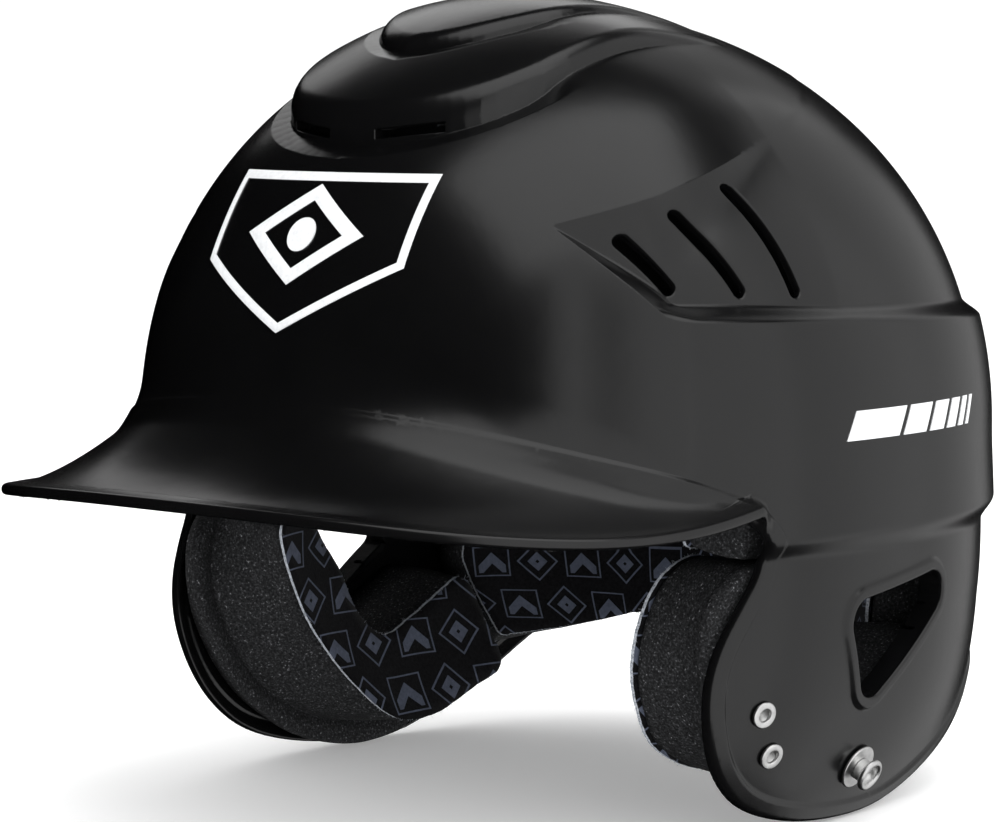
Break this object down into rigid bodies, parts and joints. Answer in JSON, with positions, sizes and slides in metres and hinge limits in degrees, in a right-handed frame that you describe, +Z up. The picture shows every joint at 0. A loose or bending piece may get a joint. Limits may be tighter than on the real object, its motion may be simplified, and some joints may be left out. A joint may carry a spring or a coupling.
{
  "type": "batting helmet",
  "caption": "Hard-shell batting helmet with a brim, two ear flaps, vent slots, crown scoops, foam pads, threaded inserts and snap studs.",
  "frame": {"origin": "middle of the bounding box in plan, at the lowest point of the ear flaps", "axes": "+X to the wearer's left, -Y to the front where the brim is, +Z up in the level worn pose"},
  "size_m": [0.221, 0.2809, 0.2161],
  "materials": {
    "shell": "moulded black plastic, glossy with a faint satin haze",
    "foam": "charcoal closed-cell foam with pale specks, matte",
    "facing": "black knit with a small grey-blue geometric print",
    "hardware": "bright nickel plate",
    "decal": "light grey print on vinyl"
  },
  "bodies": {
    "root": {"shell": "shell", "brow_pad": "foam", "crown_pad": "foam", "rear_pad": "foam", "left_side_pad": "foam", "right_side_pad": "foam", "left_ear_pad": "foam", "right_ear_pad": "foam", "brow_facing": "facing", "crown_facing": "facing", "rear_facing": "facing", "left_side_facing": "facing", "right_side_facing": "facing", "left_ear_facing": "facing", "right_ear_facing": "facing", "left_upper_insert": "hardware", "left_lower_insert": "hardware", "right_upper_insert": "hardware", "right_lower_insert": "hardware", "left_snap_flange": "hardware", "left_snap_stud": "hardware", "left_snap_rivet": "hardware", "right_snap_flange": "hardware", "right_snap_stud": "hardware", "right_snap_rivet": "hardware", "front_badge": "decal", "left_decal": "decal", "right_decal": "decal"}
  },
  "joints": []
}
